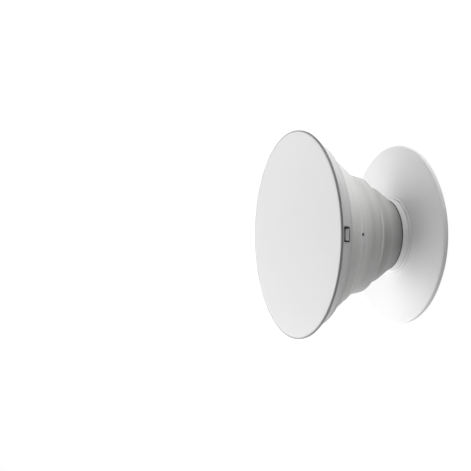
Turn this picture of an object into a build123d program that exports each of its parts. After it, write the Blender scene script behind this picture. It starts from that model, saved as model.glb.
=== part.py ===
"""Collapsible phone grip: a finger button on a folding accordion above a stick-on base.

Sizes are in millimetres.  The grip stands on its adhesive pad, pulled out, with Z up:
the middle of the pad's underside is the origin and the snap tabs face -Y and +Y.
"""
import os
from math import cos, radians, sin

from build123d import *

os.makedirs("parts", exist_ok=True)

# adhesive pad
pad_thickness = 0.6
pad_margin = 0.9

# base: thin disc with a collar, a low boss and a mushroom post for the accordion's narrow end
base_radius = 17.85
base_edge = 0.95
base_edge_round = 0.3
base_dome_rise = 0.45
boss_radius = 7.15
boss_rise = 1.59
boss_top_round = 0.15
collar_width = 0.45
collar_height = 0.3
collar_round = 0.1
post_radius = 4.4
head_overhang = 1.0
head_thickness = 0.55
head_bevel = 0.3
head_play = 0.05

# accordion: outer radii of its narrow end and of its upright walls, from the lowest to the highest
neck_radius = 6.93
lower_radius = 9.6
middle_radius = 11.66
upper_radius = 14.72

# accordion: heights of its slanted walls and of the upright walls above them
lower_slant = 4.0
lower_height = 1.5
middle_slant = 1.65
middle_height = 2.1
upper_slant = 4.15
upper_height = 3.3

# accordion: thicknesses, the round of its lowest corner, folding notches and the vent
upright_wall = 1.0
lower_corner_round = 1.5
lip_thickness = 0.8
lip_play = 0.15
flange_thickness = 0.8
notch_radius = 0.5
middle_notch_offset = 0.2
upper_notch_offset = 0.35
vent_diameter = 0.7
vent_below_notch = 0.5

# button cap
button_radius = 20.0
shoulder_width = 0.45
shoulder_drop = 0.09
cap_rim_round = 0.1
cap_land = 0.3
cap_side = 2.35
cap_lip_height = 0.6
cap_lip_round = 0.15
cap_face = 0.6
cap_wall = 1.15
clamp_rib_width = 1.0
clamp_rib_inset = 0.2

# retainer ring inside the button, under the accordion's wide flange
ring_recess = 0.05
ring_thickness = 0.8
ring_play = 0.1
ring_bore_play = 0.15
ledge_width = 1.0
upstand_height = 0.7
upstand_wall = 0.7
flange_play = 0.15

# snap hooks of the retainer ring in the windows of the cap
hook_count = 2
window_width = 2.7
window_sill = 0.1
hook_slit = 0.3
hook_gap = 0.05
hook_land = 0.7
hook_set_back = 0.05
hook_headroom = 0.45

# heights that follow from the sizes above
base_bottom = pad_thickness
base_rim_top = base_bottom + base_edge
dome_top = base_rim_top + base_dome_rise
collar_top = dome_top + collar_height
boss_top = dome_top + boss_rise
head_bottom = boss_top + lip_thickness + head_play
head_top = head_bottom + head_thickness
lower_corner = boss_top + lower_slant
lower_top = lower_corner + lower_height
middle_corner = lower_top + middle_slant
middle_top = middle_corner + middle_height
upper_corner = middle_top + upper_slant
ring_bottom = upper_corner + upper_height
ledge_top = ring_bottom + ring_thickness
upstand_top = ledge_top + upstand_height
flange_top = ledge_top + flange_thickness
lip_bottom = ring_bottom - ring_recess
lip_top = lip_bottom + cap_lip_height
land_bottom = lip_top + cap_side
rim_top = land_bottom + cap_land
face_top = rim_top + shoulder_drop
face_bottom = face_top - cap_face
window_bottom = lip_top + window_sill
hook_bottom = window_bottom + hook_gap
hook_top = face_bottom - hook_headroom

# radii that follow from the sizes above
collar_radius = boss_radius + collar_width
head_radius = post_radius + head_overhang
lip_radius = post_radius + lip_play
ring_bore = upper_radius + ring_bore_play
upstand_inner = ring_bore + ledge_width
ring_radius = upstand_inner + upstand_wall
cap_bore = ring_radius + ring_play
cap_lip_radius = cap_bore + cap_wall
cap_taper = (button_radius - cap_lip_radius) / cap_side
cap_inner_top = cap_bore + cap_taper * (face_bottom - lip_top)
flange_radius = upstand_inner - flange_play
rib_outer = flange_radius - clamp_rib_inset
rib_inner = rib_outer - clamp_rib_width
hook_reach = cap_lip_radius + cap_taper * window_sill - hook_set_back
hook_width = window_width - 2 * hook_slit

# upright half-planes through the axis, one for each snap hook, with x outwards and y up
hook_angles = [radians(360 * i / hook_count - 90) for i in range(hook_count)]
hook_planes = [Plane((0, 0, 0), x_dir=(cos(a), sin(a), 0), z_dir=(sin(a), -cos(a), 0)) for a in hook_angles]

# adhesive pad: one flat disc of foam with glue on both faces
with BuildPart() as adhesive_pad:
    with BuildSketch(Plane.XY):
        Circle(base_radius - pad_margin)
    extrude(amount=pad_thickness)
adhesive_pad.part.label = "adhesive_pad"
export_step(adhesive_pad.part, "parts/adhesive_pad.step")

# base: one moulding, turned about its axis
with BuildPart() as base:
    with BuildSketch(Plane.XZ) as base_section:
        with BuildLine():
            Polyline(
                (0, base_bottom),
                (base_radius, base_bottom),
                (base_radius, base_rim_top),
                (collar_radius, dome_top),
                (collar_radius, collar_top),
                (boss_radius, collar_top),
                (boss_radius, boss_top),
                (post_radius, boss_top),
                (post_radius, head_bottom),
                (head_radius, head_bottom),
                (head_radius, head_top - head_bevel),
                (head_radius - head_bevel, head_top),
                (0, head_top),
                close=True,
            )
        make_face()
        rim_corners = base_section.vertices().filter_by_position(
            Axis.X, base_radius - base_edge_round, base_radius + base_edge_round
        )
        fillet(rim_corners, base_edge_round)
        collar_edge = base_section.vertices().sort_by_distance((collar_radius, collar_top))[0]
        fillet(collar_edge, collar_round)
        brow = base_section.vertices().sort_by_distance((boss_radius, boss_top))[0]
        fillet(brow, boss_top_round)
    revolve(axis=Axis.Z)
base.part.label = "base"
export_step(base.part, "parts/base.step")

# accordion: one soft moulding of upright walls joined by slanted ones, each narrower than the last
with BuildPart() as accordion:
    with BuildSketch(Plane.XZ) as accordion_section:
        with BuildLine():
            Polyline(
                (lip_radius, boss_top),
                (neck_radius, boss_top),
                (lower_radius, lower_corner),
                (lower_radius, lower_top),
                (middle_radius, middle_corner),
                (middle_radius, middle_top),
                (upper_radius, upper_corner),
                (upper_radius, ledge_top),
                (flange_radius, ledge_top),
                (flange_radius, flange_top),
                (upper_radius - upright_wall, flange_top),
                (upper_radius - upright_wall, upper_corner),
                (middle_radius - upright_wall, middle_top),
                (middle_radius - upright_wall, middle_corner),
                (lower_radius - upright_wall, lower_top),
                (lower_radius - upright_wall, lower_corner),
                (neck_radius - upright_wall, boss_top + lip_thickness),
                (lip_radius, boss_top + lip_thickness),
                close=True,
            )
        make_face()
        soft_corner = accordion_section.vertices().sort_by_distance((lower_radius, lower_corner))[0]
        fillet(soft_corner, lower_corner_round)
    revolve(axis=Axis.Z)
    # folding notches round the two outer corners above
    with BuildSketch(Plane.XZ):
        with Locations(
            (middle_radius + middle_notch_offset, middle_corner),
            (upper_radius + upper_notch_offset, upper_corner),
        ):
            Circle(notch_radius)
    revolve(axis=Axis.Z, mode=Mode.SUBTRACT)
    # vent for the air that the folding walls push out
    vent_height = upper_corner - notch_radius - vent_below_notch
    with BuildSketch(Plane.XZ):
        with Locations((0, vent_height)):
            Circle(vent_diameter / 2)
    extrude(amount=upper_radius + upright_wall, mode=Mode.SUBTRACT)
accordion.part.label = "accordion"
export_step(accordion.part, "parts/accordion.step")

# retainer ring: carries the accordion's wide flange and snaps into the cap
with BuildPart() as retainer_ring:
    with BuildSketch(Plane.XZ):
        with BuildLine():
            Polyline(
                (ring_bore, ring_bottom),
                (ring_radius, ring_bottom),
                (ring_radius, upstand_top),
                (upstand_inner, upstand_top),
                (upstand_inner, ledge_top),
                (ring_bore, ledge_top),
                close=True,
            )
        make_face()
    revolve(axis=Axis.Z)
    # snap hooks with a sloping back, each above the sill of its window
    with BuildSketch(*hook_planes):
        with BuildLine():
            Polyline(
                (upstand_inner, ring_bottom),
                (ring_radius, ring_bottom),
                (ring_radius, hook_bottom),
                (hook_reach, hook_bottom),
                (hook_reach, hook_bottom + hook_land),
                (ring_radius, hook_top),
                (upstand_inner, hook_top),
                close=True,
            )
        make_face()
    extrude(amount=hook_width / 2, both=True)
retainer_ring.part.label = "retainer_ring"
export_step(retainer_ring.part, "parts/retainer_ring.step")

# button cap: flat face with a soft shoulder, tapered side wall, plain lip and a rib that presses on the
# accordion's flange
with BuildPart() as button_cap:
    with BuildSketch(Plane.XZ) as cap_section:
        with BuildLine():
            shoulder_start = (button_radius - shoulder_width, face_top)
            Line((0, face_top), shoulder_start)
            TangentArc(shoulder_start, (button_radius, rim_top), tangent=(1, 0))
            Polyline(
                (button_radius, rim_top),
                (button_radius, land_bottom),
                (cap_lip_radius, lip_top),
                (cap_lip_radius, lip_bottom),
                (cap_bore, lip_bottom),
                (cap_bore, lip_top),
                (cap_inner_top, face_bottom),
                (rib_outer, face_bottom),
                (rib_outer, flange_top),
                (rib_inner, flange_top),
                (rib_inner, face_bottom),
                (0, face_bottom),
                (0, face_top),
            )
        make_face()
        rim = cap_section.vertices().sort_by_distance((button_radius, rim_top))[0]
        fillet(rim, cap_rim_round)
        hem = cap_section.vertices().sort_by_distance((cap_lip_radius, lip_bottom))[0]
        fillet(hem, cap_lip_round)
    revolve(axis=Axis.Z)
    # windows for the snap hooks
    with BuildSketch(*hook_planes):
        with BuildLine():
            Polyline(
                (ring_radius, window_bottom),
                (button_radius, window_bottom),
                (button_radius, face_bottom),
                (ring_radius, face_bottom),
                close=True,
            )
        make_face()
    extrude(amount=window_width / 2, both=True, mode=Mode.SUBTRACT)
button_cap.part.label = "button_cap"
export_step(button_cap.part, "parts/button_cap.step")
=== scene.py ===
"""Collapsible phone grip: its mouldings, their finishes and the studio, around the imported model.

Sizes are in millimetres and angles in degrees; both change units where a mesh or a lamp is made.
The grip stands pulled out on its adhesive pad, with Z along its axis.  One snap window and the
vent face -Y.
"""

import logging
from dataclasses import dataclass, field
from enum import Enum
from math import asin, cos, pi, radians, sin
from typing import Any

import bmesh
import bpy
import numpy as np
from mathutils import Matrix, Vector


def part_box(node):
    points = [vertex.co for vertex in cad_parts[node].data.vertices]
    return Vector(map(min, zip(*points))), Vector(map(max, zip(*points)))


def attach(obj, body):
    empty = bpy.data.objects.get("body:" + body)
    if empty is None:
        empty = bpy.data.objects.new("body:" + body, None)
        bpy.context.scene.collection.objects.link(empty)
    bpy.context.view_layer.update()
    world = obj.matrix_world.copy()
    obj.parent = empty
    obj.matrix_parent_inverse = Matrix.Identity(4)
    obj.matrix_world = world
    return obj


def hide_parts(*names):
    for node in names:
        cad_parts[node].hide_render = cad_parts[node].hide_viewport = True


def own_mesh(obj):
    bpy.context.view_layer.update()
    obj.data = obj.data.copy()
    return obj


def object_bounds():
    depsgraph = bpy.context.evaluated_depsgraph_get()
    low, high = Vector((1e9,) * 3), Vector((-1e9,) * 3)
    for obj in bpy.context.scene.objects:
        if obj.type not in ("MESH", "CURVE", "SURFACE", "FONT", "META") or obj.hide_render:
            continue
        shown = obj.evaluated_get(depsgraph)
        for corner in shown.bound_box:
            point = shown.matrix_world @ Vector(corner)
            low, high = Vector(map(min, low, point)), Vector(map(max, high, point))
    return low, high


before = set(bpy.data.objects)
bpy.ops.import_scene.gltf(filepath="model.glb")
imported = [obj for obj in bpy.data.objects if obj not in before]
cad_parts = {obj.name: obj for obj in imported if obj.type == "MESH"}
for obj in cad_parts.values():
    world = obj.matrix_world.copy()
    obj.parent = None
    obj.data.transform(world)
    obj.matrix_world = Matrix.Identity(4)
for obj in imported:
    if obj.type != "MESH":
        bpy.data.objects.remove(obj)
CAD_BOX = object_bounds()

MM = 0.001
# keeps a division and a rising measure from failing where a length is nothing
TINY = 1e-9
# points of an outline and of a mesh that lie nearer than this are one point
SAME_POINT = 1e-6
MERGE_DISTANCE = 1e-4
# angle past which an edge stays sharp
CREASE_ANGLE = 38.0
# spreads past which a bell-shaped weight is as good as nothing
BELL_REACH = 4
# detail of the noise in a fine grain and in broad patches
GRAIN_DETAIL = 3.0
PATCH_DETAIL = 4.0

LOG = logging.getLogger("phone_grip")

Array = np.ndarray
Colour = tuple[float, float, float, float]
Material = bpy.types.Material
Mesh = bpy.types.Mesh
Object = bpy.types.Object
Socket = bpy.types.NodeSocket
Tree = bpy.types.NodeTree


class Body(Enum):
    """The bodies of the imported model."""

    BASE = "stuck_base"
    BUTTON = "button"


class Node(Enum):
    """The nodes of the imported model."""

    PAD = "adhesive_pad"
    BASE = "base"
    ACCORDION = "accordion"
    RING = "retainer_ring"
    CAP = "button_cap"


class Slot(Enum):
    """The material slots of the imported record."""

    FOAM = "foam_tape"
    BASE = "base_plastic"
    ELASTOMER = "soft_elastomer"
    RING = "ring_plastic"
    BUTTON = "button_plastic"


class HoleShape(Enum):
    """The outline of a hole, seen along its axis."""

    SLOT = "slot"
    ROUND = "round"


def linear(hex_colour: str) -> Colour:
    """Turn an sRGB hex colour into a linear one.

    Args:
        hex_colour: Six hex digits after a hash mark.

    Returns:
        Red, green, blue and an alpha of 1.
    """
    srgb = np.array([int(hex_colour[i:i + 2], 16) for i in (1, 3, 5)]) / 255
    values = np.where(srgb <= 0.04045, srgb / 12.92, ((srgb + 0.055) / 1.055) ** 2.4)
    return (*values.tolist(), 1.0)


def add(tree: Tree, kind: str, settings: dict[Any, Any] | None = None,
        links: dict[Any, Socket] | None = None) -> bpy.types.Node:
    """Add a node with its settings and links.

    Args:
        tree: The node tree.
        kind: The node's type, without the ShaderNode in front.
        settings: Values by property name or by input socket's name or number.
        links: Output sockets by the name or number of the input that they feed.

    Returns:
        The new node.
    """
    node = tree.nodes.new("ShaderNode" + kind)
    for key, value in (settings or {}).items():
        if isinstance(key, str) and hasattr(node, key):
            setattr(node, key, value)
        else:
            node.inputs[key].default_value = value
    for key, source in (links or {}).items():
        tree.links.new(source, node.inputs[key])
    return node


def mapped(tree: Tree, value: Socket, low: float, high: float, from_low: float = 0.0,
           from_high: float = 1.0) -> Socket:
    """Map one range of a value evenly onto another.

    Args:
        tree: The node tree.
        value: The value, held within its range.
        low: What the lower end of its range becomes.
        high: What the upper end of its range becomes.
        from_low: Lower end of its range.
        from_high: Upper end of its range.

    Returns:
        A socket with the new value.
    """
    ends = {"From Min": from_low, "From Max": from_high, "To Min": low, "To Max": high}
    return add(tree, "MapRange", ends, {"Value": value}).outputs[0]


def around(tree: Tree, value: Socket, mean: float, spread: float) -> Socket:
    """Return a socket with a value from 0 to 1 spread evenly to both sides of a mean."""
    return mapped(tree, value, mean - spread, mean + spread)


def joined(tree: Tree, operation: str, first: Socket, second: Socket) -> Socket:
    """Return a socket with two values joined by an operation of the Math node."""
    return add(tree, "Math", {"operation": operation}, {0: first, 1: second}).outputs[0]


def place(tree: Tree) -> Socket:
    """Return a socket with the place in the object's own coordinates."""
    return add(tree, "TexCoord").outputs["Object"]


def noise(tree: Tree, width: float, detail: float) -> Socket:
    """Return a socket with noise whose largest patches have the given width."""
    settings = {"Scale": 1 / (width * MM), "Detail": detail}
    return add(tree, "TexNoise", settings, {"Vector": place(tree)}).outputs["Fac"]


def bumps(tree: Tree, height: Socket, depth: float, strength: float = 1.0) -> Socket:
    """Return a socket with the normal of a surface that has bumps of the given depth."""
    settings = {"Distance": depth * MM, "Strength": strength}
    return add(tree, "Bump", settings, {"Height": height}).outputs["Normal"]


def tinted(tree: Tree, colour: str, tone: Socket) -> Socket:
    """Return a socket with an sRGB colour times a tone."""
    return add(tree, "HueSaturation", {"Color": linear(colour)}, {"Value": tone}).outputs["Color"]


def rays_that_show(tree: Tree) -> Socket:
    """Return a socket that is 1 for camera, mirror and see-through rays and 0 for all others."""
    rays = add(tree, "LightPath").outputs
    seen = joined(tree, "MAXIMUM", rays["Is Camera Ray"], rays["Is Glossy Ray"])
    return joined(tree, "MAXIMUM", seen, rays["Is Transmission Ray"])


@dataclass(frozen=True)
class Finish:
    """What a piece or the floor is made of.

    Attributes:
        name: The material's name.
        colour: Its sRGB colour.
    """

    name: str
    colour: str

    def surface(self, tree: Tree) -> Socket:
        """Build the finish's shader in a node tree and return its output."""
        raise NotImplementedError

    def material(self) -> Material:
        """Make the material.

        Returns:
            A new material with the finish's shader.
        """
        material = bpy.data.materials.new(self.name)
        material.use_nodes = True
        tree = material.node_tree
        tree.nodes.clear()
        add(tree, "OutputMaterial", links={"Surface": self.surface(tree)})
        return material


@dataclass(frozen=True)
class PaintedShadeAndHighlight:
    """Painted light on a white moulding: painted shade in its crevices, and painted highlight or painted
    shade along its edges.

    Both are found by the share of open sky at a point: outside the surface it is small in a
    crevice, and inside the surface it is small at an edge.

    Attributes:
        crevice_reach: How near a facing surface counts as a crevice.
        painted_crevice_shade: Painted shade deep in a crevice, as a share of the colour.
        crevice_sky: Share of open sky deep in a crevice and on an open surface.
        edge_reach: How far the painted edge tone goes in from an edge.
        painted_edge_tone: Painted tone on a sharp edge, as a share of the colour: above 1 a painted
            highlight, below 1 painted shade.
        edge_sky: Share of open sky under a sharp edge and under a flat surface.
        samples: Rays that look for the sky at a point.
    """

    crevice_reach: float = 0.6
    painted_crevice_shade: float = 0.04
    crevice_sky: tuple[float, float] = (0.1, 0.8)
    edge_reach: float = 0.12
    painted_edge_tone: float = 1.08
    edge_sky: tuple[float, float] = (0.4, 0.9)
    samples: int = 8

    def open_sky(self, tree: Tree, reach: float, inside: bool) -> Socket:
        """Return a socket with the share of open sky within a reach, outside or inside the surface."""
        settings = {"samples": self.samples, "inside": inside, "Distance": reach * MM}
        return add(tree, "AmbientOcclusion", settings).outputs["AO"]

    def tone(self, tree: Tree) -> Socket:
        """Work out how the painted shade and the painted edge tone change the colour.

        Args:
            tree: The node tree.

        Returns:
            A socket with the tone: 1 on open surfaces, less in crevices, its own on edges.
        """
        outside = self.open_sky(tree, self.crevice_reach, inside=False)
        # painted shade: darker where little open sky is near, in crevices and between parts
        crevice_shade = mapped(tree, outside, self.painted_crevice_shade, 1.0, *self.crevice_sky)
        inside = self.open_sky(tree, self.edge_reach, inside=True)
        # painted edge tone: paler or darker where little open sky is inside, along edges
        edge_shading = mapped(tree, inside, self.painted_edge_tone, 1.0, *self.edge_sky)
        return joined(tree, "MULTIPLY", crevice_shade, edge_shading)


@dataclass(frozen=True)
class MouldedPlastic(Finish):
    """Injection-moulded white polycarbonate.

    The mould's spark-eroded face leaves an even, very fine grain, so the surface has a broad soft
    sheen, with faint uneven gloss where the melt flowed.

    Attributes:
        roughness: Mean roughness of the sheen.
        gloss_spread: How far the roughness wanders to either side of its mean.
        grain: Width of the grain; the real 0.05 is drawn coarser, so that it shows.
        grain_depth: Height of the grain.
        flow: Width of the uneven patches of gloss and tone.
        tone_spread: How far the tone wanders, as a share of the colour.
        index: Refractive index.
        sheen: Strength of the sheen; 0.5 is that of the bare plastic.
        dull_tone: Tone of the painted shading at which the sheen is gone.
        painted_shading: Painted shade in its crevices and a painted tone on its edges.
    """

    roughness: float
    gloss_spread: float = 0.06
    grain: float = 0.35
    grain_depth: float = 0.0012
    flow: float = 7.0
    tone_spread: float = 0.02
    index: float = 1.58
    sheen: float = 0.5
    dull_tone: float = 0.7
    painted_shading: PaintedShadeAndHighlight = PaintedShadeAndHighlight()

    def surface(self, tree: Tree) -> Socket:
        """Build the shader: grain as bump, flow patches in gloss and tone, and painted shading, where
        the sheen fades too.

        Args:
            tree: The node tree.

        Returns:
            The shader's output.
        """
        grain = noise(tree, self.grain, GRAIN_DETAIL)
        flow = noise(tree, self.flow, PATCH_DETAIL)
        painted_shading = self.painted_shading.tone(tree)
        tone = joined(tree, "MULTIPLY", around(tree, flow, 1.0, self.tone_spread), painted_shading)
        shader = add(tree, "BsdfPrincipled", {"IOR": self.index},
                     {"Base Color": tinted(tree, self.colour, tone),
                      "Roughness": around(tree, flow, self.roughness, self.gloss_spread),
                      # the sheen fades where the painted shade is dark, which darkens crevices and
                      # dark-painted edges further
                      "Specular IOR Level": mapped(tree, painted_shading, 0.0, self.sheen, self.dull_tone),
                      "Normal": bumps(tree, grain, self.grain_depth)})
        return shader.outputs["BSDF"]


@dataclass(frozen=True)
class SoftElastomer(Finish):
    """Moulded white thermoplastic elastomer.

    Soft and matt: light sinks in a little and comes out again, so its edges look gentle, and the
    skin has a dull, slightly dry grain.  Its colour is painted darker towards the narrow end:
    painted shade for the deep fold next to the base.

    Attributes:
        roughness: Mean roughness.
        gloss_spread: How far the roughness wanders to either side of its mean.
        grain: Width of the skin's grain; the real 0.08 is drawn coarser, so that it shows.
        grain_depth: Height of the grain.
        mottle: Width of the faint patches of tone.
        tone_spread: How far the tone wanders, as a share of the colour.
        index: Refractive index.
        glow: Share of the light that passes under the skin.
        glow_reach: How far that light goes.
        narrow_radius: Distance from the axis of the narrow end, where the painted shade is darkest.
        wide_radius: Distance from the axis of the widest walls, where the painted shade ends.
        narrow_end_shade_tone: Painted shade at the narrow end, as a share of the colour.
        painted_shading: Painted shade in its crevices and folds, and painted highlights on its edges.
    """

    roughness: float = 0.62
    gloss_spread: float = 0.05
    grain: float = 0.3
    grain_depth: float = 0.003
    mottle: float = 3.0
    tone_spread: float = 0.02
    index: float = 1.5
    glow: float = 0.1
    glow_reach: float = 0.8
    narrow_radius: float = 6.9
    wide_radius: float = 14.7
    narrow_end_shade_tone: float = 0.3
    # painted shade in crevices and painted highlights on the edges of the notches
    painted_shading: PaintedShadeAndHighlight = PaintedShadeAndHighlight(edge_reach=0.2, painted_edge_tone=1.25)

    def surface(self, tree: Tree) -> Socket:
        """Build the shader: grain as bump, mottle, painted shade towards the narrow end, painted
        shading, a little subsurface light.

        Args:
            tree: The node tree.

        Returns:
            The shader's output.
        """
        grain = noise(tree, self.grain, GRAIN_DETAIL)
        mottle = noise(tree, self.mottle, PATCH_DETAIL)
        spoke = add(tree, "VectorMath", {"operation": "MULTIPLY", 1: (1.0, 1.0, 0.0)}, {0: place(tree)})
        radius = add(tree, "VectorMath", {"operation": "LENGTH"}, {0: spoke.outputs["Vector"]})
        # painted shade: darker towards the narrow end
        narrow_end_shade = mapped(tree, radius.outputs["Value"], self.narrow_end_shade_tone, 1.0,
                         self.narrow_radius * MM, self.wide_radius * MM)
        skin = joined(tree, "MULTIPLY", around(tree, mottle, 1.0, self.tone_spread), narrow_end_shade)
        tone = joined(tree, "MULTIPLY", skin, self.painted_shading.tone(tree))
        shader = add(tree, "BsdfPrincipled",
                     {"IOR": self.index, "Subsurface Weight": self.glow,
                      "Subsurface Radius": (1.0, 1.0, 1.0), "Subsurface Scale": self.glow_reach * MM},
                     {"Base Color": tinted(tree, self.colour, tone),
                      "Roughness": around(tree, grain, self.roughness, self.gloss_spread),
                      "Normal": bumps(tree, grain, self.grain_depth)})
        return shader.outputs["BSDF"]


@dataclass(frozen=True)
class FoamTape(Finish):
    """Die-cut acrylic foam tape.

    Closed cells show as tiny pits on the cut edge, and the glue skin is tacky, so it is a little
    shinier than the foam.

    Attributes:
        cell: Width of a foam cell.
        cell_depth: Depth of a pit.
        relief: How strongly the pits show.
        pit_shade_tone: Painted shade in a pit, as a share of the colour.
        wall_tone: Tone between the pits, as a share of the colour.
        roughness: Roughness of the tacky skin.
        index: Refractive index.
    """

    cell: float = 0.18
    cell_depth: float = 0.03
    relief: float = 0.6
    pit_shade_tone: float = 0.9
    wall_tone: float = 1.02
    roughness: float = 0.55
    index: float = 1.47

    def surface(self, tree: Tree) -> Socket:
        """Build the shader: cells as bump and as painted shade in the pits.

        Args:
            tree: The node tree.

        Returns:
            The shader's output.
        """
        cells = add(tree, "TexVoronoi", {"Scale": 1 / (self.cell * MM)}, {"Vector": place(tree)})
        pits = cells.outputs["Distance"]
        # painted shade: darker in the pits
        tone = mapped(tree, pits, self.pit_shade_tone, self.wall_tone)
        shader = add(tree, "BsdfPrincipled", {"IOR": self.index, "Roughness": self.roughness},
                     {"Base Color": tinted(tree, self.colour, tone),
                      "Normal": bumps(tree, pits, self.cell_depth, self.relief)})
        return shader.outputs["BSDF"]


@dataclass(frozen=True)
class StudioPaper(Finish):
    """Matt white backdrop paper, lit to white where the camera sees it.

    Attributes:
        lift: Light added for camera, mirror and see-through rays, so the paper reads white and
            still keeps a shadow.
        fibre: Width of the paper's fibres.
        fibre_depth: Height of the fibres.
        relief: How strongly the fibres show.
    """

    lift: float
    fibre: float = 0.8
    fibre_depth: float = 0.01
    relief: float = 0.3

    def surface(self, tree: Tree) -> Socket:
        """Build the shader: matt paper plus the lift on the rays that show it.

        Args:
            tree: The node tree.

        Returns:
            The shader's output.
        """
        fibres = bumps(tree, noise(tree, self.fibre, GRAIN_DETAIL), self.fibre_depth, self.relief)
        paper = add(tree, "BsdfDiffuse", {"Color": linear(self.colour)}, {"Normal": fibres})
        strength = mapped(tree, rays_that_show(tree), 0.0, self.lift)
        light = add(tree, "Emission", links={"Strength": strength})
        both = add(tree, "AddShader", links={0: paper.outputs[0], 1: light.outputs[0]})
        return both.outputs[0]


def rounded_outline(corners: list[tuple[float, float, float]], arc_points: int = 11) -> Array:
    """Round an outline's corners with arcs.

    An arc of radius R at a corner with half angle h is tangent to both sides: its centre lies on
    the bisector, R / sin(h) from the corner, and it starts and ends R / tan(h) from the corner.
    Between them its spokes turn evenly from the first to the last.

    Args:
        corners: Radius, height and rounding of each corner.
        arc_points: Points on each arc.

    Returns:
        Points (radius, height) along the outline; a corner with no rounding gives one point.
    """
    table = np.array(corners, float)
    points, rounding = table[:, :2], table[:, 2:]
    back = np.roll(points, 1, axis=0) - points
    ahead = np.roll(points, -1, axis=0) - points
    back /= np.linalg.norm(back, axis=1, keepdims=True)
    ahead /= np.linalg.norm(ahead, axis=1, keepdims=True)
    half = np.arccos(np.clip((back * ahead).sum(axis=1, keepdims=True), -1, 1)) / 2
    bisector = back + ahead
    bisector /= np.linalg.norm(bisector, axis=1, keepdims=True)
    centre = points + bisector * rounding / np.sin(half)
    first = points + back * rounding / np.tan(half) - centre
    last = points + ahead * rounding / np.tan(half) - centre
    turn = pi - 2 * half
    share = np.linspace(0, 1, arc_points)
    spokes = (np.sin((1 - share) * turn)[..., None] * first[:, None]
              + np.sin(share * turn)[..., None] * last[:, None]) / np.sin(turn)[..., None]
    arcs = (centre[:, None] + spokes).reshape(-1, 2)
    moved = np.linalg.norm(np.diff(arcs, axis=0, append=arcs[:1]), axis=1) > SAME_POINT
    return arcs[moved] if moved[-1] else np.vstack([arcs[moved], arcs[-1:]])


def along(points: Array, measure: Array, count: int) -> Array:
    """Take evenly spaced points along a line of points.

    Args:
        points: Points along the line.
        measure: Rising measure at each point, such as the length so far.
        count: How many points to take, both ends included.

    Returns:
        The points at even steps of the measure.
    """
    at = np.linspace(measure[0], measure[-1], count)
    return np.stack([np.interp(at, measure, column) for column in points.T], axis=1)


def length_so_far(points: Array) -> Array:
    """Return the length along a line of points, from 0 at the first."""
    return np.concatenate([[0.0], np.cumsum(np.linalg.norm(np.diff(points, axis=0), axis=1))])


@dataclass
class Section:
    """The outline that a moulding is turned from, in a half-plane through its axis.

    Attributes:
        corners: Radius, height and rounding of each corner, in order.
        closed: True for a ring, whose outline joins up; False where it runs from axis to axis.
        soften: Width over which every edge is softened.
        notches: Radius, height and radius of each round notch turned into the outline.
        notch_soften: Width over which the notches' own edges are softened.
        row_step: Longest step between the rows of a straight stretch.
        turn_step: Turn in degrees that counts as much as one such step.
        fine_step: Step between the closely spaced points that the rows are taken from.
    """

    corners: list[tuple[float, float, float]]
    closed: bool
    soften: float = 0.0
    notches: list[tuple[float, float, float]] = field(default_factory=list)
    notch_soften: float = 0.06
    row_step: float = 0.9
    turn_step: float = 11.0
    fine_step: float = 0.02

    def fine_outline(self) -> Array:
        """Work out the outline as closely spaced points, softened and then notched.

        A point inside a notch's circle moves straight away from the circle's middle to its edge.

        Returns:
            Points (radius, height) along the outline.
        """
        points = rounded_outline(self.corners)
        if self.closed:
            points = np.vstack([points, points[:1]])
        measure = length_so_far(points)
        fine = along(points, measure, int(measure[-1] / self.fine_step) + 1)
        if self.soften:
            fine = self.softened(fine, self.soften)
        for radius, height, size in self.notches:
            spoke = fine - (radius, height)
            reach = np.linalg.norm(spoke, axis=1, keepdims=True)
            on_circle = (radius, height) + spoke * size / np.maximum(reach, TINY)
            fine = np.where(reach < size, on_circle, fine)
        return self.softened(fine, self.notch_soften) if self.notches else fine

    def softened(self, fine: Array, width: float) -> Array:
        """Soften the outline's edges.

        Softening is a running mean with a bell-shaped weight along the outline, which runs on
        past the axis as its own mirror image, or round to its own start.

        Args:
            fine: Closely spaced points along the outline.
            width: Spread of the bell-shaped weight.

        Returns:
            As many points, softened.
        """
        spread = width / self.fine_step
        pad = int(BELL_REACH * spread) + 1
        weight = np.exp(-0.5 * (np.arange(-pad, pad + 1) / spread) ** 2)
        weight /= weight.sum()
        if self.closed:
            padded = np.vstack([fine[-pad - 1:-1], fine, fine[1:pad + 1]])
        else:
            mirror = np.array([-1.0, 1.0])
            padded = np.vstack([fine[pad:0:-1] * mirror, fine, fine[-2:-pad - 2:-1] * mirror])
        return np.stack([np.convolve(column, weight, "valid") for column in padded.T], axis=1)

    def rows_of(self, narrow_end_shade: Array) -> Array:
        """Space a stretch of the outline so that its rows are close together only where it turns.

        The measure adds the length in steps of row_step to the turning in steps of turn_step.

        Args:
            narrow_end_shade: Closely spaced points along the stretch.

        Returns:
            Points (radius, height) of the rows.
        """
        move = np.diff(narrow_end_shade, axis=0)
        length = length_so_far(narrow_end_shade)
        heading = np.unwrap(np.arctan2(move[:, 1], move[:, 0]))
        turned = np.concatenate([[0.0], np.cumsum(np.abs(np.diff(heading))), [0.0]])
        turned[-1] = turned[-2]
        measure = length / self.row_step + np.degrees(turned) / self.turn_step
        measure += np.arange(len(measure)) * TINY
        return along(narrow_end_shade, measure, max(2, int(np.ceil(measure[-1])) + 1))


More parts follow.
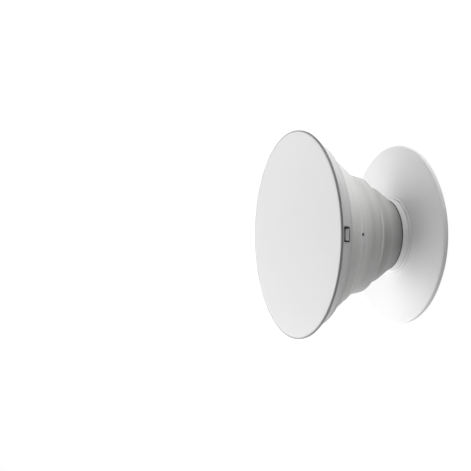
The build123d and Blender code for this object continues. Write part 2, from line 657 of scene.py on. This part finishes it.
@dataclass
class Hole:
    """A hole straight through the wall of a turned piece.

    Attributes:
        shape: Its outline.
        azimuths: Where it is, in degrees from +X; one hole at each.
        low: Height of its lower edge.
        high: Height of its upper edge.
        width: Its width across.
        cells: Faces across the hole, each way.
        margin: Faces beside the hole that bend to follow a round outline.
    """

    shape: HoleShape
    azimuths: list[float]
    low: float
    high: float
    width: float
    cells: int = 8
    margin: int = 0

    @property
    def patch(self) -> int:
        """Faces across the hole and its margins."""
        return self.cells + 2 * self.margin

    @property
    def spread(self) -> float:
        """Size of the patch for a hole of 1."""
        return self.patch / self.cells

    def heights(self) -> Array:
        """Return the heights of the patch's rows, from its lower edge up."""
        middle, half = (self.low + self.high) / 2, (self.high - self.low) / 2
        return np.linspace(middle - half * self.spread, middle + half * self.spread, self.patch + 1)


@dataclass(frozen=True)
class SoftWaves:
    """The slight unevenness of a soft wall that has often been folded.

    At azimuth a and height z the wall lies further out by the depth times the sum of
    sin(turns * a + climb * z + start) over its waves, which fades out towards both ends.

    Attributes:
        low: Height where it starts.
        high: Height where it ends.
        depth: Height of each wave.
        fade: Height over which it fades in and out.
        waves: Turns round the wall, climb in radians per millimetre and start in radians.
    """

    low: float
    high: float
    depth: float = 0.065
    fade: float = 2.0
    waves: tuple[tuple[int, float, float], ...] = ((1, 2.6, 2.0), (0, 3.9, 5.2), (3, 1.1, 4.0))

    def swell(self, azimuth: Array, height: Array) -> Array:
        """Work out how far the wall lies further out.

        Args:
            azimuth: Azimuth of each point in radians.
            height: Height of each point.

        Returns:
            The added radius of each point.
        """
        share = np.clip(np.minimum(height - self.low, self.high - height) / self.fade, 0, 1)
        total = sum(np.sin(turns * azimuth + climb * height + start)
                    for turns, climb, start in self.waves)
        return self.depth * share * share * (3 - 2 * share) * total


@dataclass
class TurnedMesh:
    """A section turned about Z as a grid of rows and columns, with holes through its wall.

    Row i, column j of the grid lies at radius r(i) and height z(i) of the section, and at the
    azimuth of the column.

    Attributes:
        section: The outline that is turned.
        hole: The holes, or None.
        waves: The wall's unevenness, or None.
        columns: Columns all round, apart from those across the holes.
    """

    section: Section
    hole: Hole | None = None
    waves: SoftWaves | None = None
    columns: int = 240

    def patch_rows(self, wall: Array) -> Array:
        """Space a stretch of the wall so that its rows lie at the heights of the hole's patch.

        Args:
            wall: Closely spaced points along the stretch, going up or down.

        Returns:
            Points (radius, height) of the rows, going the same way.
        """
        if wall[0, 1] > wall[-1, 1]:
            return self.patch_rows(wall[::-1])[::-1]
        levels = self.hole.heights()
        return np.stack([np.interp(levels, wall[:, 1], wall[:, 0]), levels], axis=1)

    def grid(self) -> tuple[Array, list[int]]:
        """Work out the section's rows.

        The wall crosses each edge of the hole's patch twice, once outside and once inside.  The
        outline is cut there, so that every second stretch is one side of the patch.

        Returns:
            Points (radius, height) of the rows, and the first rows of the outer and inner patches.
        """
        fine = self.section.fine_outline()
        end = len(fine) - 1
        if self.hole is None:
            rows = self.section.rows_of(fine)
            return rows[:-1] if self.section.closed else rows, []
        edges = self.hole.heights()[[0, -1]]
        crossings = [np.flatnonzero(np.diff(np.sign(fine[:, 1] - edge)))[:2] for edge in edges]
        cuts = np.sort(np.concatenate(crossings)).tolist()
        parts, starts = [], []
        for number, (first, last) in enumerate(zip([0, *cuts], [*cuts, end])):
            if number % 2:
                starts.append(sum(len(part) for part in parts))
                parts.append(self.patch_rows(fine[first:last + 2]))
            else:
                rows = self.section.rows_of(fine[first:last + 1])
                begin = 1 if first else 0
                stop = -1 if last < end or self.section.closed else None
                parts.append(rows[begin:stop])
        return np.vstack(parts), starts

    def azimuths(self, radii: Array) -> tuple[Array, list[int]]:
        """Work out the columns, spaced evenly across each hole and evenly between the holes.

        Args:
            radii: Radius of the wall at the first row of each patch.

        Returns:
            Azimuth of each column in radians, and the first column of each hole's patch.
        """
        if self.hole is None:
            return np.arange(self.columns) * 2 * pi / self.columns, []
        half = asin(self.hole.width * self.hole.spread / 2 / radii[0])
        middles = np.radians(sorted(self.hole.azimuths))
        between = self.columns // len(middles)
        parts, starts = [], []
        for middle, following in zip(middles, [*middles[1:], middles[0] + 2 * pi]):
            starts.append(sum(len(part) for part in parts))
            parts.append(np.linspace(middle - half, middle + half, self.hole.patch + 1)[:-1])
            parts.append(np.linspace(middle + half, following - half, between + 1)[:-1])
        return np.concatenate(parts), starts

    def mesh(self, name: str) -> Mesh:
        """Turn the section into a mesh.

        Args:
            name: The mesh's name.

        Returns:
            A closed mesh in metres.
        """
        outline, row_starts = self.grid()
        azimuths, column_starts = self.azimuths(outline[row_starts, 0])
        rows, columns = len(outline), len(azimuths)
        grid = np.stack([np.repeat(outline[:, :1], columns, axis=1),
                         np.repeat(outline[:, 1:], columns, axis=1),
                         np.repeat(azimuths[None], rows, axis=0)])
        if self.hole is not None and self.hole.shape is HoleShape.ROUND:
            for row in row_starts:
                for column in column_starts:
                    self.draw_round(grid, row, column)
        radius, height, azimuth = grid
        if self.waves is not None:
            radius += self.waves.swell(azimuth, height)
        points = np.stack([radius * np.cos(azimuth), radius * np.sin(azimuth), height], axis=-1)
        faces = self.faces(rows, columns, row_starts, column_starts)
        mesh = bpy.data.meshes.new(name)
        mesh.from_pydata((points.reshape(-1, 3) * MM).tolist(), [], faces.tolist())
        return finished(mesh)

    def draw_round(self, grid: Array, row: int, column: int) -> None:
        """Move the rows and columns of a patch so that the hole in its middle is round.

        A point at (a, b) in half widths of the hole has the square norm c = max(|a|, |b|) and the
        length e.  It moves along its own direction by the factor c / e at the hole's edge, which
        makes the square a circle, and by less and less towards the patch's edge.

        Args:
            grid: Radius, height and azimuth of each grid point, changed in place.
            row: First row of the patch.
            column: First column of the patch.
        """
        patch = self.hole.patch
        radius, height, azimuth = grid[:, row:row + patch + 1, column:column + patch + 1]
        wall_height, wall_radius = height[:, 0].copy(), radius[:, 0].copy()
        line = np.linspace(-self.hole.spread, self.hole.spread, patch + 1)
        up, across = np.meshgrid(line, line, indexing="ij")
        square = np.maximum(np.abs(up), np.abs(across))
        length = np.maximum(np.hypot(up, across), TINY)
        fade = np.clip((square - 1) / max(self.hole.spread - 1, TINY), 0, 1)
        factor = (1 - fade) * square / length + fade
        order = np.argsort(wall_height)
        height[:] = np.interp(up * factor, line, wall_height)
        radius[:] = np.interp(height, wall_height[order], wall_radius[order])
        azimuth[:] = np.interp(across * factor, line, azimuth[0].copy())

    def faces(self, rows: int, columns: int, row_starts: list[int], column_starts: list[int]) -> Array:
        """List the faces: the grid's own, without the holes, and the walls of the holes.

        A hole's wall joins the border of the missing faces outside to the border inside, whose
        rows run the other way.

        Args:
            rows: Rows of the grid.
            columns: Columns of the grid.
            row_starts: First rows of the outer and inner patches.
            column_starts: First column of each patch.

        Returns:
            Corner numbers of each face, four to a row.
        """
        row = np.arange(rows if self.section.closed else rows - 1)[:, None]
        column = np.arange(columns)[None]
        below, beside = (row + 1) % rows, (column + 1) % columns
        quads = np.stack([row * columns + column, row * columns + beside,
                          below * columns + beside, below * columns + column], axis=-1)
        keep = np.ones(quads.shape[:2], bool)
        walls = []
        for first_column in column_starts:
            left = first_column + self.hole.margin
            right = left + self.hole.cells
            near, far = (start + self.hole.margin for start in row_starts)
            for start in (near, far):
                keep[start:start + self.hole.cells, left:right] = False
            outside = border(near, near + self.hole.cells, left, right, columns)
            inside = border(far + self.hole.cells, far, left, right, columns)
            walls.append(np.stack([outside, np.roll(outside, -1), np.roll(inside, -1), inside], axis=-1))
        return np.vstack([quads[keep], *walls])


def steps(first: int, last: int) -> Array:
    """Count from first towards last, up or down, without last."""
    return np.arange(first, last, 1 if last > first else -1)


def border(top: int, bottom: int, left: int, right: int, columns: int) -> Array:
    """List the grid points round a block of faces, in order.

    Args:
        top: Row where the block starts.
        bottom: Row where it ends.
        left: First column.
        right: Last column.
        columns: Columns of the grid.

    Returns:
        Numbers of the points round the block.
    """
    return np.concatenate([top * columns + steps(left, right), steps(top, bottom) * columns + right,
                           bottom * columns + steps(right, left), steps(bottom, top) * columns + left])


def finished(mesh: Mesh, flat: float = 0.0) -> Mesh:
    """Join a mesh along its edges, turn its faces outwards and shade it smooth between its creases.

    Args:
        mesh: The mesh in metres.
        flat: Turn in degrees up to which neighbouring faces become one.

    Returns:
        The same mesh.
    """
    work = bmesh.new()
    work.from_mesh(mesh)
    bmesh.ops.remove_doubles(work, verts=work.verts, dist=MERGE_DISTANCE * MM)
    if flat:
        bmesh.ops.dissolve_limit(work, angle_limit=radians(flat), verts=work.verts, edges=work.edges)
    bmesh.ops.recalc_face_normals(work, faces=work.faces)
    work.to_mesh(mesh)
    work.free()
    mesh.shade_smooth()
    mesh.set_sharp_from_angle(angle=radians(CREASE_ANGLE))
    return mesh


def put(name: str, data: bpy.types.ID) -> Object:
    """Put a mesh, a lamp or a camera into the scene and return its object."""
    obj = bpy.data.objects.new(name, data)
    bpy.context.scene.collection.objects.link(obj)
    return obj


def show(name: str, mesh: Mesh, material: Material, node: Node, body: Body) -> Object:
    """Put a finished mesh in the place of its node.

    Args:
        name: The piece's name.
        mesh: Its mesh.
        material: Its finish.
        node: The node that it replaces.
        body: The body that it rides on.

    Returns:
        The new object.
    """
    piece = put(name, mesh)
    mesh.materials.append(material)
    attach(piece, body.value)
    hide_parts(node.value)
    LOG.info("%s: %d faces", name, len(mesh.polygons))
    return piece


def extent(node: Node) -> tuple[float, float, float]:
    """Return a turned node's outer radius, lowest height and highest height in millimetres."""
    low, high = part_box(node.value)
    return high.x / MM, low.z / MM, high.z / MM


def soften_edges(piece: Object, width: float, angle: float = 50.0, segments: int = 2) -> None:
    """Round a piece's sharp edges a little.

    Args:
        piece: The object.
        width: Width of the rounding.
        angle: Angle in degrees past which an edge is rounded.
        segments: Faces across the rounding.
    """
    bevel = piece.modifiers.new("edge_rounding", "BEVEL")
    bevel.limit_method = "ANGLE"
    bevel.angle_limit = radians(angle)
    bevel.width = width * MM
    bevel.segments = segments
    bevel.harden_normals = True


@dataclass
class ButtonCap:
    """The finger button: one hard moulding with a flat face, tapered side wall, lip and rib.

    A fine line runs round under the rim, where the halves of the mould met.  Two windows in the
    side wall show the snap hooks of the ring inside.
    """

    finish: MouldedPlastic
    shoulder_width: float = 0.45
    shoulder_drop: float = 0.09
    shoulder_share: float = 0.85
    rim_round: float = 0.06
    land: float = 0.3
    bore_round: float = 0.12
    line_depth: float = 0.26
    line_round: float = 0.05
    lip_height: float = 0.6
    lip_radius: float = 17.82
    lip_foot_round: float = 0.3
    hem_round: float = 0.15
    face_thickness: float = 0.6
    wall: float = 1.15
    rib_inner: float = 14.52
    rib_outer: float = 15.52
    inner_round: float = 0.05
    window_width: float = 2.9
    window_sill: float = 0.1
    window_lintel: float = 0.06
    window_edge: float = 0.05

    def section(self) -> Section:
        """Work out the outline, from the middle of the face round to the middle of its underside.

        The shoulder is an arc that starts level with the face, so for a width w and a drop d its
        radius is (w * w + d * d) / (2 * d), and its sides meet that radius times tan(atan(d / w))
        from its start.  A little less than the whole arc leaves room for the rim's own rounding.

        Returns:
            The outline.
        """
        radius, bottom, top = extent(Node.CAP)
        _, _, rib_bottom = extent(Node.ACCORDION)
        under = top - self.face_thickness
        lip_top = bottom + self.lip_height
        rim_top = top - self.shoulder_drop
        land_bottom = rim_top - self.land
        width, drop = self.shoulder_width, self.shoulder_drop
        arc = (width * width + drop * drop) / (2 * drop)
        brow = radius - width + arc * drop / width
        taper = (radius - self.lip_radius) / (land_bottom - lip_top)
        bore = self.lip_radius - self.wall
        small = self.inner_round
        return Section(
            [(0, top, 0), (brow, top, self.shoulder_share * arc), (radius, rim_top, self.rim_round),
             (radius - self.line_depth, rim_top - self.land / 2, self.line_round),
             (radius, land_bottom, self.line_round),
             (self.lip_radius, lip_top, self.lip_foot_round), (self.lip_radius, bottom, self.hem_round),
             (bore, bottom, small), (bore, lip_top, self.bore_round),
             (bore + taper * (under - lip_top), under, small),
             (self.rib_outer, under, small), (self.rib_outer, rib_bottom, small),
             (self.rib_inner, rib_bottom, small), (self.rib_inner, under, small), (0, under, 0)],
            closed=False)

    def window(self) -> Hole:
        """Return the two windows, towards -Y and +Y."""
        _, bottom, top = extent(Node.CAP)
        return Hole(HoleShape.SLOT, [-90, 90], bottom + self.lip_height + self.window_sill,
                    top - self.face_thickness - self.window_lintel, self.window_width)

    def build(self) -> None:
        """Build the moulding and dress it."""
        mesh = TurnedMesh(self.section(), self.window()).mesh("button_moulding")
        piece = show("button_moulding", mesh, self.finish.material(), Node.CAP, Body.BUTTON)
        soften_edges(piece, self.window_edge)


@dataclass
class Accordion:
    """The soft folding wall: upright rings joined by slanted ones, each narrower than the last.

    The lowest corner is round; a round notch in each corner above it is where the wall folds.
    """

    finish: SoftElastomer
    radii: tuple[float, ...] = (6.93, 9.6, 11.66, 14.72)
    slant_heights: tuple[float, ...] = (4.0, 1.65, 4.15)
    upright_heights: tuple[float, ...] = (1.5, 2.1)
    wall: float = 1.0
    lower_corner_round: float = 1.5
    inner_lip_radius: float = 4.55
    lip_thickness: float = 0.8
    flange_thickness: float = 0.8
    notch_radius: float = 0.5
    notch_offsets: tuple[float, ...] = (0.2, 0.35)
    edge_softness: float = 0.2
    vent_diameter: float = 0.7
    vent_below_notch: float = 0.5
    row_step: float = 0.6
    turn_step: float = 9.0

    def corner_heights(self) -> list[float]:
        """Return the heights of the slanted walls' tops, where the notches are."""
        _, height, _ = extent(Node.ACCORDION)
        return [height + sum(self.slant_heights[:i + 1]) + sum(self.upright_heights[:i])
                for i in range(len(self.slant_heights))]

    def section(self) -> Section:
        """Work out the outline, up the outside and down the inside.

        Returns:
            The outline.
        """
        flange_radius, bottom, top = extent(Node.ACCORDION)
        corners = self.corner_heights()
        outside = [(self.radii[0], bottom)]
        for radius, corner, upright in zip(self.radii[1:], corners, self.upright_heights):
            outside += [(radius, corner), (radius, corner + upright)]
        outside.append((self.radii[-1], corners[-1]))
        inside = [(radius - self.wall, height) for radius, height in outside[:0:-1]]
        flange_bottom = top - self.flange_thickness
        outline = ([(self.inner_lip_radius, bottom)] + outside
                   + [(self.radii[-1], flange_bottom), (flange_radius, flange_bottom),
                      (flange_radius, top), (self.radii[-1] - self.wall, top)]
                   + inside
                   + [(self.radii[0] - self.wall, bottom + self.lip_thickness),
                      (self.inner_lip_radius, bottom + self.lip_thickness)])
        rounding = {(self.radii[1], corners[0]): self.lower_corner_round}
        notches = [(radius + offset, corner, self.notch_radius)
                   for radius, corner, offset in zip(self.radii[2:], corners[1:], self.notch_offsets)]
        return Section([(*point, rounding.get(point, 0.0)) for point in outline], closed=True,
                       soften=self.edge_softness, notches=notches, row_step=self.row_step,
                       turn_step=self.turn_step)

    def vent(self) -> Hole:
        """Return the vent, just under the uppermost notch and towards -Y."""
        middle = self.corner_heights()[-1] - self.notch_radius - self.vent_below_notch
        half = self.vent_diameter / 2
        return Hole(HoleShape.ROUND, [-90], middle - half, middle + half, self.vent_diameter, margin=2)

    def waves(self) -> SoftWaves:
        """Return the unevenness of the folding walls, from the lowest corner up to the ring."""
        _, _, top = extent(Node.ACCORDION)
        return SoftWaves(self.corner_heights()[0], top - 2 * self.flange_thickness)

    def build(self) -> None:
        """Build the moulding and dress it."""
        mesh = TurnedMesh(self.section(), self.vent(), self.waves()).mesh("accordion_moulding")
        piece = show("accordion_moulding", mesh, self.finish.material(), Node.ACCORDION, Body.BASE)
        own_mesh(piece)


@dataclass
class StickOnBase:
    """The thin round base with its collar, boss and mushroom post, and the foam pad under it."""

    finish: MouldedPlastic
    tape: FoamTape
    edge: float = 0.95
    edge_round: float = 0.3
    dome_rise: float = 0.45
    boss_radius: float = 7.15
    boss_rise: float = 1.59
    boss_top_round: float = 0.15
    collar_width: float = 0.45
    collar_height: float = 0.3
    collar_round: float = 0.1
    post_radius: float = 4.4
    head_overhang: float = 1.0
    head_thickness: float = 0.55
    head_bevel: float = 0.3
    small_round: float = 0.08

    def section(self) -> Section:
        """Work out the base's outline, from the middle of its underside to the top of the post.

        Returns:
            The outline.
        """
        radius, bottom, top = extent(Node.BASE)
        rim_top = bottom + self.edge
        dome_top = rim_top + self.dome_rise
        boss_top = dome_top + self.boss_rise
        collar_radius = self.boss_radius + self.collar_width
        head_radius = self.post_radius + self.head_overhang
        head_bottom = top - self.head_thickness
        collar_top = dome_top + self.collar_height
        small = self.small_round
        return Section(
            [(0, bottom, 0), (radius, bottom, self.edge_round), (radius, rim_top, self.edge_round),
             (collar_radius, dome_top, small), (collar_radius, collar_top, self.collar_round),
             (self.boss_radius, collar_top, small), (self.boss_radius, boss_top, self.boss_top_round),
             (self.post_radius, boss_top, small), (self.post_radius, head_bottom, small),
             (head_radius, head_bottom, small), (head_radius, top - self.head_bevel, small),
             (head_radius - self.head_bevel, top, small), (0, top, 0)],
            closed=False)

    def pad_section(self) -> Section:
        """Return the pad's outline; the cut edge is drawn in a little at its middle."""
        radius, bottom, top = extent(Node.PAD)
        small = self.small_round
        waist = (radius - small, (bottom + top) / 2, small)
        return Section([(0, bottom, 0), (radius, bottom, small / 2), waist, (radius, top, small / 2),
                        (0, top, 0)], closed=False)

    def build(self) -> None:
        """Build the base and the pad and dress them."""
        show("base_moulding", TurnedMesh(self.section()).mesh("base_moulding"), self.finish.material(),
             Node.BASE, Body.BASE)
        show("foam_pad", TurnedMesh(self.pad_section()).mesh("foam_pad"), self.tape.material(),
             Node.PAD, Body.BASE)


@dataclass
class RetainerRing:
    """The hard ring inside the button, which shows in the windows and from below."""

    finish: MouldedPlastic
    edge_round: float = 0.08
    flat: float = 1.0

    def mesh(self) -> Mesh:
        """Return a copy of the ring's solid, joined along its edges and with its flat faces whole."""
        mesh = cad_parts[Node.RING.value].data.copy()
        mesh.materials.clear()
        return finished(mesh, self.flat)

    def build(self) -> None:
        """Build the ring and dress it."""
        piece = show("ring_moulding", self.mesh(), self.finish.material(), Node.RING, Body.BUTTON)
        soften_edges(piece, self.edge_round)


@dataclass(frozen=True)
class SoftBox:
    """A square studio lamp that points at the object.

    Attributes:
        name: The lamp's name.
        azimuth: Where it stands, in degrees from +X.
        elevation: How high it stands, in degrees.
        power: Its power in watts.
        size: Its side.
        distance: How far it stands from the object.
    """

    name: str
    azimuth: float
    elevation: float
    power: float
    size: float = 260.0
    distance: float = 420.0

    def build(self, target: Vector) -> None:
        """Build the lamp.

        Args:
            target: Where it points.
        """
        lamp = bpy.data.lights.new(self.name, "AREA")
        lamp.shape = "SQUARE"
        lamp.size = self.size * MM
        lamp.energy = self.power
        obj = put(self.name, lamp)
        turn, rise = radians(self.azimuth), radians(self.elevation)
        away = Vector((cos(turn) * cos(rise), sin(turn) * cos(rise), sin(rise)))
        obj.location = target + away * self.distance * MM
        obj.rotation_euler = away.to_track_quat("Z", "Y").to_euler()
        # the floor hides a low lamp's own shape from every shiny surface
        obj.visible_glossy = self.elevation > 0
        obj.visible_camera = False


@dataclass
class Studio:
    """Floor, soft light and the camera.

    The camera lies on its side, so that the grip's axis runs across the picture as it does in the
    photograph.

    Attributes:
        paper: The floor's finish.
        boxes: The lamps.
        eye: Where the camera is.
        dip: How far down the camera looks.
        lens: The camera's focal length.
        sensor: Width of the camera's sensor.
        floor_radius: Radius of the floor.
        floor_corners: Corners round the floor.
    """

    paper: StudioPaper
    boxes: list[SoftBox]
    eye: tuple[float, float, float] = (-0.154, -157.76, 95.18)
    dip: float = 20.73
    lens: float = 68.68
    sensor: float = 36.0
    floor_radius: float = 390.0
    floor_corners: int = 96

    def build_floor(self) -> None:
        """Build the floor under the pad: a round sheet that lets the light of low lamps through."""
        turn = np.arange(self.floor_corners) * 2 * pi / self.floor_corners
        corners = np.stack([np.cos(turn), np.sin(turn), 0 * turn], axis=1) * self.floor_radius * MM
        mesh = bpy.data.meshes.new("floor")
        mesh.from_pydata(corners.tolist(), [], [list(range(self.floor_corners))])
        mesh.materials.append(self.paper.material())
        floor = put("floor", mesh)
        floor.visible_shadow = False

    def build_camera(self) -> None:
        """Build the camera: it looks along +Y and down by the dip, with +X up in the picture."""
        camera = bpy.data.cameras.new("camera")
        camera.lens = self.lens
        camera.sensor_width = self.sensor
        camera.clip_start = MM
        dip = radians(self.dip)
        right = Vector((0, -sin(dip), -cos(dip)))
        up = Vector((1, 0, 0))
        turn = Matrix((right, up, right.cross(up))).transposed().to_4x4()
        obj = put("camera", camera)
        obj.matrix_world = Matrix.Translation(Vector(self.eye) * MM) @ turn
        bpy.context.scene.camera = obj

    def build_world(self) -> None:
        """Build the world: white for the rays that show it, and no light on the object."""
        world = bpy.data.worlds.new("studio")
        world.use_nodes = True
        tree = world.node_tree
        tree.nodes.clear()
        light = add(tree, "Background", {"Color": linear("#FFFFFF")}, {"Strength": rays_that_show(tree)})
        add(tree, "OutputWorld", links={"Surface": light.outputs[0]})
        bpy.context.scene.world = world

    def build(self) -> None:
        """Build the floor, the lamps, the world and the camera."""
        self.build_floor()
        low, high = (Vector(corner) for corner in CAD_BOX)
        for box in self.boxes:
            box.build((low + high) / 2)
        self.build_world()
        self.build_camera()
        bpy.context.scene.view_settings.view_transform = "Standard"
        LOG.info("studio: %d lamps", len(self.boxes))


def main() -> None:
    """Build the pieces in order, then the studio."""
    logging.basicConfig(level=logging.INFO, format="%(name)s: %(message)s")
    # the button's edges are painted darker: painted shade that outlines its rim
    ButtonCap(MouldedPlastic("moulded_polycarbonate_button", "#EAEAEA", roughness=0.42,
                             painted_shading=PaintedShadeAndHighlight(edge_reach=0.4, painted_edge_tone=0.5))).build()
    # the ring is painted nearly black deep in its crevices, a painted shade round the hooks in the
    # windows, and its edges a little paler, a painted highlight
    RetainerRing(MouldedPlastic("moulded_polycarbonate_ring", "#F2F2F1", roughness=0.5,
                                painted_shading=PaintedShadeAndHighlight(crevice_reach=2.4, painted_crevice_shade=0.0, painted_edge_tone=1.1))).build()
    # the accordion and the base keep their own painted shade in crevices and painted highlights on edges
    Accordion(SoftElastomer("moulded_elastomer_accordion", "#F7F7F6")).build()
    StickOnBase(MouldedPlastic("moulded_polycarbonate_base", "#F6F6F6", roughness=0.45),
                FoamTape("die_cut_foam_tape", "#DDDDDA")).build()
    # name, azimuth, elevation and power of each lamp
    lamps = [("back_right_box", 60, 18, 0.441), ("back_high_box", 90, 35, 0.386),
             ("back_left_box", 120, 18, 0.371), ("back_left_high_box", 135, 35, 0.626),
             ("left_edge_box", 150, 6, 0.504), ("left_box", 180, 18, 0.172),
             ("front_left_high_box", 225, 55, 0.426), ("front_right_box", 300, 18, 0.206),
             ("right_edge_box", 0, -10, 1.604), ("front_under_box", 270, -30, 0.227)]
    paper = StudioPaper("backdrop_paper", "#7C7C7C", lift=0.93)
    Studio(paper, [SoftBox(*lamp) for lamp in lamps]).build()
    bpy.context.view_layer.update()


if __name__ == "__main__":
    main()
